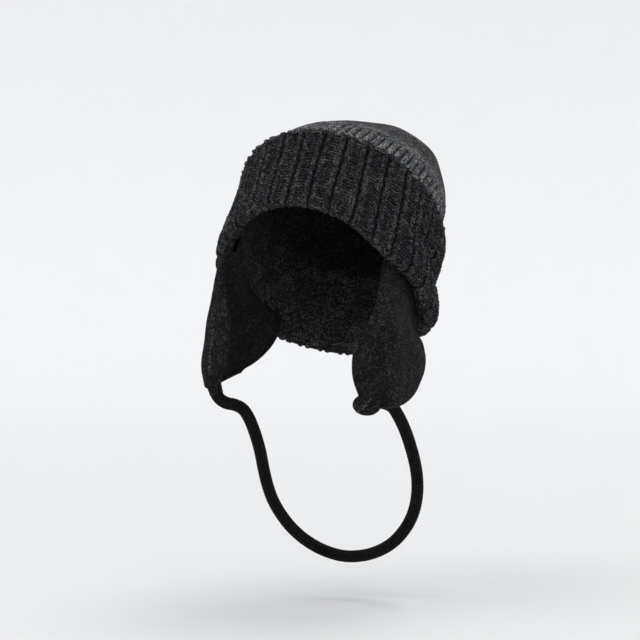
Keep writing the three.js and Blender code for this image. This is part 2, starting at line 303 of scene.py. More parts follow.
@dataclass
class HeadTube:
    """The knitted tube round the head, which carries crown, cuff and flaps."""

    lean: float = math.radians(37)
    opening: tuple[float, float] = (0.085, 0.099)
    edge: tuple[float, float] = (0.089, 0.094)
    forward: float = 0.0185
    cuff_height: float = 0.079
    front_rise: float = 0.008
    dome_height: float = 0.167
    dome_back: float = 0.025
    fullness: float = 1.7
    rounding: float = 4.6
    gathers: int = 10
    gather_depth: float = 0.0025
    # Azimuth, climb, spread in degrees, reach in climb and distance out of the fuller side.
    shoulder: Bulge = (58, 1.74, 34, 0.16, 0.006)
    # Height of the cuff's fold and how far it swells, every 30 degrees from the back of the head.
    folds: tuple[float, ...] = (1, -2, -8, -12, -5, 4, 8, 4, -8, -4, 0, 3)
    swells: tuple[float, ...] = (4, 5, 8, 11, 10, 4, 1, 2, 6, 10, 11, 6)
    # Azimuth, spread in degrees and depth of the fold's dip behind the wearer's left ear.
    dip: Triple = (101, 14, 0.013)

    def cuff_top(self, azimuth: Array) -> Array:
        """Height of the cuff's top edge in the cap frame."""
        return self.cuff_height + self.front_rise * np.cos(np.radians(azimuth))

    def round_table(self, azimuth: Array, values: Sequence[float]) -> Array:
        """Catmull-Rom through values that stand evenly round the tube.

        Args:
            azimuth: Degrees round the tube.
            values: One value every so many degrees, from -180, in millimetres.

        Returns:
            The value at each azimuth, in metres.
        """
        count = len(values)
        turn = ((azimuth + 180) % 360) * count / 360
        i = np.floor(turn).astype(int)
        t = turn - i
        table = np.array(values, float) / 1000
        p0, p1, p2, p3 = (table[(i + k) % count] for k in (-1, 0, 1, 2))
        bend = 2 * p0 - 5 * p1 + 4 * p2 - p3 + t * (3 * (p1 - p2) + p3 - p0)
        return p1 + 0.5 * t * (p2 - p0 + t * bend)

    def fold(self, azimuth: Array) -> Array:
        """Height of the fold at the cuff's lower edge."""
        at, spread, depth = self.dip
        return self.round_table(azimuth, self.folds) - depth * bell(turn_from(azimuth, at) / spread)

    def swell(self, azimuth: Array) -> Array:
        """How far the fold stands out past the top of the cuff."""
        return self.round_table(azimuth, self.swells)

    def fuller(self, azimuth: Array, climb: Array) -> Array:
        """How far the crown stands out over the wearer's left temple."""
        at, height, spread, reach, out = self.shoulder
        side = bell(turn_from(azimuth, at) / spread, (climb - height) / reach)
        return out * (1 - smoothstep(climb, 1.85, 2.0)) * side

    def narrowing(self, over: Array) -> Array:
        """Share of the girth that is left at a share of the way over the dome."""
        return (1 - over**self.fullness) ** (1 / self.rounding)

    def point(self, azimuth: Array, climb: Array, out: Array | float) -> Array:
        """A point off the tube's plain surface, in the shared frame.

        Args:
            azimuth: Degrees round the tube.
            climb: How far up, from 0 at the opening to 2 at the top of the crown.
            out: Distance outwards from the surface.

        Returns:
            Points of shape (count, 3).
        """
        a = np.radians(azimuth)
        over = np.clip(climb - 1, 0, 1)
        low = np.minimum(climb, 1)
        size = self.narrowing(over)
        half_width = lerp(self.opening[0], self.edge[0], low)
        half_length = lerp(self.opening[1], self.edge[1], low)
        middle = lerp(-self.forward * low, self.dome_back, over)
        full = out + self.fuller(azimuth, climb)
        z = lerp(low * self.cuff_top(azimuth), self.dome_height + full, over)
        pleat = 0.5 - 0.5 * np.cos(self.gathers * a)
        side = full - self.gather_depth * pleat * smoothstep(over, 0.5, 0.9)
        x = (half_width + side) * size * np.sin(a)
        y = middle - (half_length + side) * size * np.cos(a)
        c, s = math.cos(self.lean), math.sin(self.lean)
        return np.stack([x, y * c + z * s, -y * s + z * c], -1)

    def at_height(self, azimuth: Array, height: Array, out: Array | float) -> Array:
        """The same, at a height in the cap frame instead of a climb."""
        return self.point(azimuth, height / self.cuff_top(azimuth), out)


# Finishes


def new_group(name: str, inputs: dict[str, str], outputs: dict[str, str]) -> NodeTree:
    """An empty shader node group with its sockets.

    Args:
        name: Name of the group.
        inputs: Float, Vector or Color by socket name.
        outputs: The same.

    Returns:
        The group, with its Group Input and Group Output nodes.
    """
    group = bpy.data.node_groups.new(name, "ShaderNodeTree")
    for in_out, sockets in (("INPUT", inputs), ("OUTPUT", outputs)):
        for label, kind in sockets.items():
            group.interface.new_socket(name=label, in_out=in_out, socket_type=f"NodeSocket{kind}")
    group.nodes.new("NodeGroupInput").name = "In"
    group.nodes.new("NodeGroupOutput").name = "Out"
    return group


@dataclass
class Wires:
    """Adds nodes to a tree and links them."""

    tree: NodeTree

    def node(self, kind: str, **settings: object) -> Node:
        """A new node with the given settings."""
        made = self.tree.nodes.new(kind)
        for key, value in settings.items():
            setattr(made, key, value)
        return made

    def feed(self, socket: NodeSocket, value: object) -> None:
        """Links a socket to another, or gives it a value."""
        if isinstance(value, NodeSocket):
            self.tree.links.new(value, socket)
        else:
            socket.default_value = value

    def math(self, operation: str, *values: object) -> NodeSocket:
        """Result of a Math node over sockets or numbers."""
        made = self.node("ShaderNodeMath", operation=operation)
        for socket, value in zip(made.inputs, values):
            self.feed(socket, value)
        return made.outputs[0]

    def set(self, made: Node, values: dict[str, object]) -> Node:
        """Feeds the inputs of a node by their names, and returns the node."""
        for key, value in values.items():
            self.feed(made.inputs[key], value)
        return made

    def vector(self, operation: str, *values: object) -> Node:
        """A Vector Math node; the second value of SCALE is its factor."""
        made = self.node("ShaderNodeVectorMath", operation=operation)
        second = made.inputs["Scale"] if operation == "SCALE" else made.inputs[1]
        for socket, value in zip((made.inputs[0], second), values):
            self.feed(socket, value)
        return made

    def times(self, a: object, b: object, plus: object = 0.0) -> NodeSocket:
        """Product of two sockets or numbers, with a third added."""
        return self.math("MULTIPLY_ADD", a, b, plus)

    def mix(self, factor: object, a: object, b: object, kind: str = "RGBA") -> NodeSocket:
        """Colour, or number where kind is FLOAT, mixed from a at factor 0 to b at factor 1."""
        made = self.node("ShaderNodeMix", data_type=kind)
        first, result = (6, 2) if kind == "RGBA" else (2, 0)
        for index, value in ((0, factor), (first, a), (first + 1, b)):
            self.feed(made.inputs[index], value)
        return made.outputs[result]

    def noise(self, vector: object, scale: object, detail: float = 2.0, warp: float = 0.0) -> NodeSocket:
        """Factor of a Noise Texture."""
        made = self.node("ShaderNodeTexNoise")
        values = {"Vector": vector, "Scale": scale, "Detail": detail, "Distortion": warp}
        return self.set(made, values).outputs[0]

    def ramp(self, factor: object, low: float, high: float) -> NodeSocket:
        """Smooth step of a factor from 0 at low to 1 at high."""
        made = self.node("ShaderNodeMapRange", interpolation_type="SMOOTHSTEP")
        return self.set(made, {"Value": factor, "From Min": low, "From Max": high}).outputs[0]

    def bump(self, distance: float, height: object, **normal: object) -> NodeSocket:
        """Normal of a Bump node, laid over another Normal where one is given."""
        made = self.node("ShaderNodeBump")
        return self.set(made, {"Distance": distance, "Height": height, **normal}).outputs[0]

    def place(self, group: NodeTree, values: dict[str, object]) -> Node:
        """A node of a group, with its inputs set."""
        return self.set(self.node("ShaderNodeGroup", node_tree=group), values)


COOL_DYE = (0.94, 0.98, 1.08, 1.0)
WARM_DYE = (1.03, 1.02, 0.96, 1.0)
# Scales of the noise in the wool, to the metre, from broad patches to single fibres.
PATCHES, CLUMPS, GRAIN, FIBRES = 60.0, 260.0, 620.0, 1300.0
CURLS = 340.0
FUZZ = 900.0


def melange_group() -> NodeTree:
    """Colour of a marled yarn: dark wool with paler fibres, with painted shade and painted highlight
    from the shading value.
    """
    numbers = dict.fromkeys(("Fleck Share", "Depth", "Relief", "Gap Shade"), "Float")
    inputs = {"Position": "Vector", "Yarn": "Color", "Fleck": "Color", **numbers}
    group = new_group("melange", inputs, {"Color": "Color"})
    wires = Wires(group)
    given = group.nodes["In"].outputs
    position = given["Position"]
    patches, clumps, grain = (wires.noise(position, scale) for scale in (PATCHES, CLUMPS, GRAIN))
    fibre = wires.noise(position, FIBRES, 1.0)
    slow = wires.times(patches, 0.16, wires.times(clumps, 0.24))
    mottled = wires.times(grain, 0.6, slow)
    paler = wires.times(wires.ramp(mottled, 0.46, 0.6), given["Fleck Share"])
    shade = wires.mix(paler, given["Yarn"], given["Fleck"])
    speck = wires.times(wires.ramp(fibre, 0.55, 0.68), wires.ramp(grain, 0.5, 0.58))
    flecked = wires.mix(wires.times(speck, 0.9), shade, given["Fleck"])
    tint = wires.mix(wires.ramp(patches, 0.42, 0.58), COOL_DYE, WARM_DYE)
    dyed = wires.vector("MULTIPLY", flecked, tint).outputs[0]
    uneven = wires.times(wires.ramp(mottled, 0.4, 0.62), 1.0, 0.5)
    # Painted shade where the shading value is positive, painted highlight where it is negative.
    painted_light_factor = wires.times(given["Depth"], -0.85, 1.0)
    # Painted shade in the gaps between loops, where the stitch relief is low.
    hollow = wires.math("SUBTRACT", 1.0, wires.ramp(given["Relief"], 0.25, 0.9))
    gap_shade = wires.math("SUBTRACT", 1.0, wires.times(hollow, given["Gap Shade"]))
    shading = wires.times(wires.times(painted_light_factor, gap_shade), uneven)
    shaded = wires.vector("SCALE", dyed, shading)
    wires.feed(group.nodes["Out"].inputs["Color"], shaded.outputs[0])
    return group


def stitch_group() -> NodeTree:
    """Relief of plain knitting: columns of V shapes in front, rows of small arcs on the purl side."""
    numbers = dict.fromkeys(("Purl", "Plies", "Twist", "Unevenness", "Curl"), "Float")
    inputs = {"Stitches": "Vector", "Position": "Vector", **numbers}
    group = new_group("stitches", inputs, {"Loop": "Float", "Height": "Float"})
    wires = Wires(group)
    given = group.nodes["In"].outputs
    sway = wires.noise(given["Stitches"], 0.9, 1.0).node.outputs["Color"]
    centred = wires.vector("SUBTRACT", sway, (0.5, 0.5, 0.5))
    pulled = wires.vector("SCALE", centred.outputs[0], given["Unevenness"])
    moved = wires.vector("ADD", given["Stitches"], pulled.outputs[0])
    split = wires.node("ShaderNodeSeparateXYZ")
    wires.feed(split.inputs[0], moved.outputs[0])
    wale = wires.math("FRACT", split.outputs["X"])
    across = wires.math("ABSOLUTE", wires.times(wale, 2.0, -1.0))
    along = wires.math("FRACT", wires.times(across, -0.9, split.outputs["Y"]))
    side = wires.times(across, 2.0, -1.0)
    leg = wires.math("SUBTRACT", 1.0, wires.math("POWER", wires.math("ABSOLUTE", side), 4.0))
    swelling = wires.math("SINE", wires.times(along, math.pi))
    plain = wires.times(leg, wires.times(swelling, 0.75, 0.25))
    wave = wires.math("SINE", wires.times(split.outputs["X"], 2 * math.pi))
    arc = wires.times(wave, 0.22, split.outputs["Y"])
    purl = wires.math("ABSOLUTE", wires.math("SINE", wires.times(arc, math.pi)))
    loop = wires.mix(given["Purl"], plain, purl, "FLOAT")
    curls = wires.noise(given["Position"], CURLS, 0.0)
    from_line = wires.math("ABSOLUTE", wires.math("SUBTRACT", curls, 0.5))
    curled = wires.mix(given["Curl"], loop, wires.ramp(from_line, 0.01, 0.08), "FLOAT")
    spin = wires.times(across, 1.3, wires.times(along, given["Plies"]))
    ply = wires.math("ABSOLUTE", wires.math("SINE", wires.times(spin, math.pi)))
    twisted = wires.times(ply, given["Twist"])
    out = group.nodes["Out"].inputs
    wires.feed(out["Loop"], curled)
    wires.feed(out["Height"], wires.math("ADD", curled, twisted))
    return group


def fuzz_group() -> NodeTree:
    """Fine felted fibres over the yarn."""
    group = new_group("fuzz", {"Position": "Vector", "Fineness": "Float"}, {"Height": "Float"})
    wires = Wires(group)
    given = group.nodes["In"].outputs
    fibres = wires.noise(given["Position"], given["Fineness"], 3.0, 1.2)
    wires.feed(group.nodes["Out"].inputs["Height"], fibres)
    return group


@dataclass(frozen=True)
class Yarn:
    """Finish of one kind of knitting."""

    name: str
    colour: Triple
    fleck: Triple
    fleck_share: float
    # Strength of the painted shade in the gaps between loops.
    gap: float
    unevenness: float
    curl: float
    stitch_relief: float
    sheen: float
    fuzz_relief: float = 0.0003

    def material(self, groups: dict[str, NodeTree]) -> Material:
        """Builds the material.

        Args:
            groups: The shared node groups by name.

        Returns:
            The material.
        """
        made = bpy.data.materials.new(self.name)
        made.use_nodes = True
        made.diffuse_color = (*self.colour, 1.0)
        wires = Wires(made.node_tree)
        shader = made.node_tree.nodes["Principled BSDF"]
        position = wires.node("ShaderNodeTexCoord").outputs["Object"]
        stitches = wires.node("ShaderNodeUVMap", uv_map=STITCH_MAP).outputs[0]
        # Painted shading of each point: painted shade and highlight, with a random stitch tone.
        depth = wires.node("ShaderNodeAttribute", attribute_name=PAINTED_SHADING).outputs["Fac"]
        purl = wires.node("ShaderNodeAttribute", attribute_name=PURL).outputs["Fac"]
        loops = {"Stitches": stitches, "Purl": purl, "Plies": 2.0, "Twist": 0.2}
        loops |= {"Unevenness": self.unevenness, "Position": position, "Curl": self.curl}
        knit = wires.place(groups["stitches"], loops)
        dye = {"Yarn": (*self.colour, 1.0), "Fleck": (*self.fleck, 1.0), "Fleck Share": self.fleck_share}
        dye |= {"Position": position, "Depth": depth, "Relief": knit.outputs["Loop"], "Gap Shade": self.gap}
        colour = wires.place(groups["melange"], dye)
        fuzz = wires.place(groups["fuzz"], {"Position": position, "Fineness": FUZZ})
        fine = wires.bump(self.fuzz_relief, fuzz.outputs["Height"])
        looks = {
            "Base Color": colour.outputs["Color"],
            "Normal": wires.bump(self.stitch_relief, knit.outputs["Height"], Normal=fine),
            "Roughness": 0.95,
            "Specular IOR Level": 0.15,
            "Sheen Weight": self.sheen,
            "Sheen Roughness": 0.45,
            "Sheen Tint": (0.55, 0.56, 0.6, 1.0),
        }
        wires.set(shader, looks)
        return made


YARNS = {
    Slot.PLAIN: Yarn(
        name="plain_knit", colour=(0.0185, 0.0186, 0.019), fleck=(0.12, 0.121, 0.123),
        fleck_share=0.5, gap=0.7, unevenness=0.35, curl=0.55, stitch_relief=0.0009, sheen=0.06,
    ),
    Slot.RIB: Yarn(
        name="rib_knit", colour=(0.0145, 0.0147, 0.0153), fleck=(0.11, 0.111, 0.114),
        fleck_share=0.4, gap=0.65, unevenness=0.25, curl=0.3, stitch_relief=0.0012, sheen=0.03,
    ),
    Slot.FLAP: Yarn(
        name="flap_knit", colour=(0.0062, 0.0063, 0.0065), fleck=(0.052, 0.053, 0.0545),
        fleck_share=0.4, gap=0.9, unevenness=0.7, curl=0.9, stitch_relief=0.0017, sheen=0.03,
    ),
    Slot.CORD: Yarn(
        name="cord_knit", colour=(0.0055, 0.0056, 0.0058), fleck=(0.018, 0.018, 0.019),
        fleck_share=0.3, gap=0.4, unevenness=0.2, curl=0.3, stitch_relief=0.0005, sheen=0.02,
        fuzz_relief=0.0002,
    ),
}


# Pieces


@dataclass
class Cuff:
    """The turned-up rib: grooves between pairs of chain columns, with a sunken ladder between."""

    tube: HeadTube
    finish: Material
    ribs: int = 30
    columns: int = 22
    courses: int = 27
    wall: float = 0.0055
    groove_depth: float = 0.0036
    ladder_depth: float = 0.0014
    stitch_depth: float = 0.0013
    crest: float = 0.0006
    beads: int = 7
    bead_size: float = 0.0009
    cast_on_at: float = 0.968
    cast_on_width: float = 0.016
    lip_rows: int = 12
    face_rows: int = 108
    top_rows: int = 6
    inner_rows: int = 12
    # Share of the swell left at each share of the height.
    swell_shape: tuple[tuple[float, float], ...] = (
        (0.0, 1.0), (0.1, 1.0), (0.22, 0.9), (0.34, 0.65),
        (0.5, 0.38), (0.64, 0.2), (0.8, 0.07), (1.0, 0.0),
    )
    # Azimuth, rise, spread in degrees, reach in height and distance out of each local bulge.
    puffs: tuple[Bulge, ...] = (
        (104, 0.78, 22, 0.2, 0.006),
        (98, 0.46, 24, 0.08, -0.005),
    )
    # Edges of the groove and of the chain column beside it, as shares of a rib.
    groove_edge: tuple[float, float] = (0.02, 0.1)
    chain: tuple[float, float] = (0.08, 0.29)

    @property
    def rows(self) -> int:
        """Rows of the whole grid."""
        return self.lip_rows + self.face_rows + self.top_rows + self.inner_rows

    def puff(self, azimuth: Array, rise: Array) -> Array:
        """Local bulges and creases pressed into the cuff."""
        total = np.zeros_like(azimuth)
        for at, height, spread, reach, out in self.puffs:
            total += out * bell(turn_from(azimuth, at) / spread, (rise - height) / reach)
        return total

    def turns(self, azimuth: Array, rise: Array) -> Array:
        """Count of ribs from the forehead, bent a little as they wander."""
        shiver = 0.25 * np.sin(41 * rise + 0.37 * azimuth) + 0.15 * np.sin(97 * rise - 0.9 * azimuth)
        return (azimuth + 1.1 * wander(azimuth, rise, 0.7) + shiver) * self.ribs / 360

    def relief(self, turns: Array, course: Array) -> tuple[Array, Array]:
        """Relief of the ribs.

        Args:
            turns: Count of ribs from the forehead; each starts in the middle of a groove.
            course: Place up the rib in stitches.

        Returns:
            Height off the wall, and painted shading: shade in hollows, highlight on chain tops.
        """
        turn = turns % 1.0
        from_groove, wale = self.in_rib(turn)
        groove = 1 - smoothstep(from_groove, *self.groove_edge)
        low, high = self.chain
        ladder = smoothstep(from_groove, high - 0.02, high + 0.04)
        chain = stockinette(wale, course)
        on_chain = smoothstep(from_groove, low - 0.02, low + 0.02) * (1 - ladder)
        bar = np.sin(np.pi * course) ** 2
        column = 3 * np.floor(turns) + np.where(ladder > 0.5, 1, np.where(turn < 0.5, 0, 2))
        own = scatter(course, column) - 0.5
        height = -self.groove_depth * groove - self.ladder_depth * ladder
        height += self.crest * np.sin(np.pi * wale) * on_chain
        loops = on_chain * (chain - 1) + ladder * (bar - 1)
        height += self.stitch_depth * (loops + 0.5 * own * (on_chain * chain + ladder * bar))
        # Painted shade in the groove, the chain's hollows and the ladder, painted highlight on the chain
        # tops; own adds a random tone for each stitch.
        depth = groove + on_chain * (0.5 * (1 - chain) - 0.3) + ladder * (0.2 + 0.65 * (1 - bar))
        return height, np.clip(depth - 0.6 * own * (1 - groove), -0.7, 1)

    def foot(self, azimuth: Array) -> Array:
        """Half the thickness of the fold, which is how far it is rounded."""
        return 0.5 * (self.wall + self.tube.swell(azimuth))

    def rise(self, azimuth: Array, height: Array) -> Array:
        """Share of the way from the fold to the top edge."""
        fold = self.tube.fold(azimuth)
        return (height - fold) / (self.tube.cuff_top(azimuth) - fold)

    def in_rib(self, turn: Array) -> tuple[Array, Array]:
        """Share of a rib from its groove, and place across the chain column."""
        low, high = self.chain
        from_groove = np.minimum(turn, 1 - turn)
        return from_groove, np.clip((from_groove - low) / (high - low), 0, 1)

    def levels(self, azimuth: Array, v: Array) -> tuple[Array, Array, Array, Array]:
        """Where each row stands.

        Args:
            azimuth: Degrees round the cuff.
            v: Place along the grid's rows.

        Returns:
            Height in the cap frame, and shares of the way round the fold, over the top and down
            the inside.
        """
        tube = self.tube
        row = v * self.rows
        top = tube.cuff_top(azimuth)
        foot, crest = self.foot(azimuth), 0.5 * self.wall
        rounded = tube.fold(azimuth) + foot
        shares = []
        for count in (self.lip_rows, self.face_rows, self.top_rows, self.inner_rows):
            shares.append(np.clip(row / count, 0, 1))
            row = row - count
        lip, face, over, inner = shares
        height = rounded - foot * np.sin(np.pi * lip)
        height = np.where(face > 0, lerp(rounded, top - crest, face), height)
        height = np.where(over > 0, top - crest * (1 - np.sin(np.pi * over)), height)
        height = np.where(inner > 0, lerp(top - crest, rounded, inner), height)
        return height, lip, over, inner

    def courses_up(self, azimuth: Array, height: Array, lip: Array) -> Array:
        """Stitches up from the fold, which go on round it."""
        wrapped = self.tube.fold(azimuth) + self.foot(azimuth) * (1 - 1.57 * (1 - lip))
        return self.rise(azimuth, np.where(lip < 1, wrapped, height)) * self.courses

    def place(self, u: Array, v: Array) -> Array:
        """Maps the grid to the cuff: round the fold, up the face, over the top and down inside."""
        tube = self.tube
        azimuth = 360 * u
        height, lip, over, inner = self.levels(azimuth, v)
        rise = self.rise(azimuth, height)
        swell = tube.swell(azimuth) * soft_table(rise, self.swell_shape, 0.04)
        full = self.wall + swell + self.puff(azimuth, rise)
        out = full * 0.5 * (1 - np.cos(np.pi * lip))
        out = np.where(over > 0, full * 0.5 * (1 + np.cos(np.pi * over)), out)
        turns = self.turns(azimuth, rise)
        raised, depth = self.relief(turns, self.courses_up(azimuth, height, lip))
        beads = np.abs(np.sin(np.pi * self.beads * turns)) - 0.5
        cast_on = bell((rise - self.cast_on_at) / self.cast_on_width)
        turned = smoothstep(lip, 0.1, 0.3) * (1 - smoothstep(lip, 0.7, 1.0))
        raised += self.bead_size * ((beads + 0.8) * cast_on + 0.3 * beads * turned)
        # Paler along the cast-on edge, with painted highlight on the bead tops and painted shade between
        # them.
        depth = lerp(depth, -2.6 - 1.2 * beads, 0.95 * cast_on)
        rolled = 1 - 0.6 * bell((lip - 0.55) / 0.25)
        strength = smoothstep(lip, 0.1, 0.4) * rolled * (1 - 0.6 * smoothstep(over, 0.0, 0.4))
        strength = np.where(inner > 0, 0.0, strength)
        outward = np.where(lip < 1, -np.cos(np.pi * lip), np.cos(np.pi * over))
        upward = np.where(lip < 1, -np.sin(np.pi * lip), np.sin(np.pi * over))
        body = FIT_GAP + np.maximum(out + raised * strength * outward, 0)
        points = tube.at_height(azimuth, height + raised * strength * upward, body)
        return np.column_stack([points, depth * strength, inner > 0])

    def stitches(self, corners: Array, middle: Array) -> Array:
        """Maps the grid to stitches: a column on each chain, level bars on the ladder."""
        azimuth = 360 * corners[:, 0]
        height, lip, _, _ = self.levels(azimuth, corners[:, 1])
        rise = self.rise(azimuth, height)
        own = self.turns(360 * middle[:, 0], rise)
        whole = np.floor(own)
        turn = np.clip(self.turns(azimuth, rise) - whole, 0, 1)
        ladder = self.in_rib(own - whole)[0] > self.chain[1]
        wale = np.where(ladder, 0.7 + 0.1 * turn, self.in_rib(turn)[1])
        # On the ladder the same stitch lies level, half a stitch further on.
        course = self.courses_up(azimuth, height, lip) + np.where(ladder, 0.45, 0.0)
        return np.stack([wale + 3 * whole, course], -1)

    def build(self) -> Object:
        """Makes and dresses the cuff."""
        mesh = grid_mesh(self.ribs * self.columns, self.rows, self.place, self.stitches)
        return knitted_piece("cuff_rib", [mesh], self.finish, "cuff")


@dataclass
class Crown:
    """The crown: a ribbed band above the cuff, plain knitting over it and soft gathers on top."""

    tube: HeadTube
    finish: Material
    ribs: int = 72
    columns: int = 8
    outer_rows: int = 116
    inner_rows: int = 40
    wall: float = 0.004
    rib_top: float = 1.35
    rib_depth: float = 0.0024
    roll: float = 0.001
    roll_at: float = 1.4
    roll_reach: float = 0.07
    wales: int = 14
    course: float = 0.0026
    hem: float = 0.004
    flap_tuck: float = 0.014
    flap_starts: tuple[float, float] = (63, 51)
    flap_end: float = 124

    def hem_climb(self, azimuth: Array) -> Array:
        """Climb of the lower edge, which keeps clear of the flaps that are tucked in."""
        a = turn_from(azimuth, 0)
        start = np.where(a > 0, self.flap_starts[0], self.flap_starts[1])
        from_flap = np.maximum(start - np.abs(a), np.abs(a) - self.flap_end)
        room = 1 - smoothstep(from_flap, 5, 11)
        height = self.tube.fold(azimuth) + lerp(self.hem, self.flap_tuck + 2 * FIT_GAP, room)
        return height / self.tube.cuff_top(azimuth)

    def climb(self, azimuth: Array, v: Array) -> Array:
        """Climb of a row, closer together towards the top where the surface turns over."""
        hem = self.hem_climb(azimuth)
        t = np.sin(0.5 * np.pi * v)
        return lerp(hem, 2.0, lerp(v, t, 0.75))

    def outer(self, u: Array, v: Array) -> Array:
        """Maps the grid to the outside."""
        azimuth = 360 * u
        climb = self.climb(azimuth, v)
        slot = 0.5 + 0.5 * np.cos(np.radians(azimuth * self.ribs))
        groove = smoothstep(slot, 0.75, 1.0)
        number = np.rint(azimuth * self.ribs / 360)
        reach = 0.05 * wander(azimuth, climb, 2.0) + 0.08 * (scatter(number, np.zeros_like(u)) - 0.5)
        fade = smoothstep(climb + reach, self.rib_top - 0.08, self.rib_top)
        band = smoothstep(climb, 0.9, 0.96) * (1 - fade)
        soft = 0.0012 * wander(azimuth, climb, 1.3) * smoothstep(climb, 1.0, 1.3) * (2 - climb)
        lit = bell((climb + reach - self.roll_at) / self.roll_reach)
        soft += self.roll * lit
        out = soft + 0.0012 * band * (0.5 - slot) - self.rib_depth * groove * band
        points = self.tube.point(azimuth, climb, out)
        # Painted shade in the band's slots, the band's ribs painted paler, and a painted highlight along
        # the lit roll.
        return np.column_stack([points, (4.0 * groove - 2.4) * band - 1.2 * lit, np.zeros_like(u)])

    def inner(self, u: Array, v: Array) -> Array:
        """Maps the grid to the inside, from the lower edge up."""
        azimuth = 360 * u
        climb = self.climb(azimuth, v)
        inward = self.wall * np.sqrt(np.clip(v * 12, 0, 1))
        drop = 0.0015 * np.sin(np.pi * np.clip(v * 12, 0, 1))
        points = self.tube.point(azimuth, climb - drop / 0.08, -inward)
        # The inside gets painted shade.
        return np.column_stack([points, np.full_like(u, 0.35), np.ones_like(u)])

    def stitches(self, corners: Array, middle: Array) -> Array:
        """Maps the grid to stitches: whole columns in each gore, cut off where the gores meet."""
        gores = self.tube.gathers
        centre = (np.floor(middle[:, 0] * gores) + 0.5) / gores
        over = np.clip(self.climb(360 * corners[:, 0], corners[:, 1]) - 1, 0, 1)
        wale = (corners[:, 0] - centre) * gores * self.wales * self.tube.narrowing(over)
        return np.stack([wale, corners[:, 1] * 0.19 / self.course], -1)

    def build(self) -> Object:
        """Makes and dresses the crown."""
        around = self.ribs * self.columns
        outside = grid_mesh(around, self.outer_rows, self.outer, self.stitches)
        inside = grid_mesh(around, self.inner_rows, self.inner, self.stitches)
        return knitted_piece("crown_knit", [outside, inside], self.finish, "crown")


@dataclass
class Level:
    """One level of an ear flap: front and rear edges, outward bow and sag of its middle."""

    front: Triple
    rear: Triple
    bow: float
    sag: float


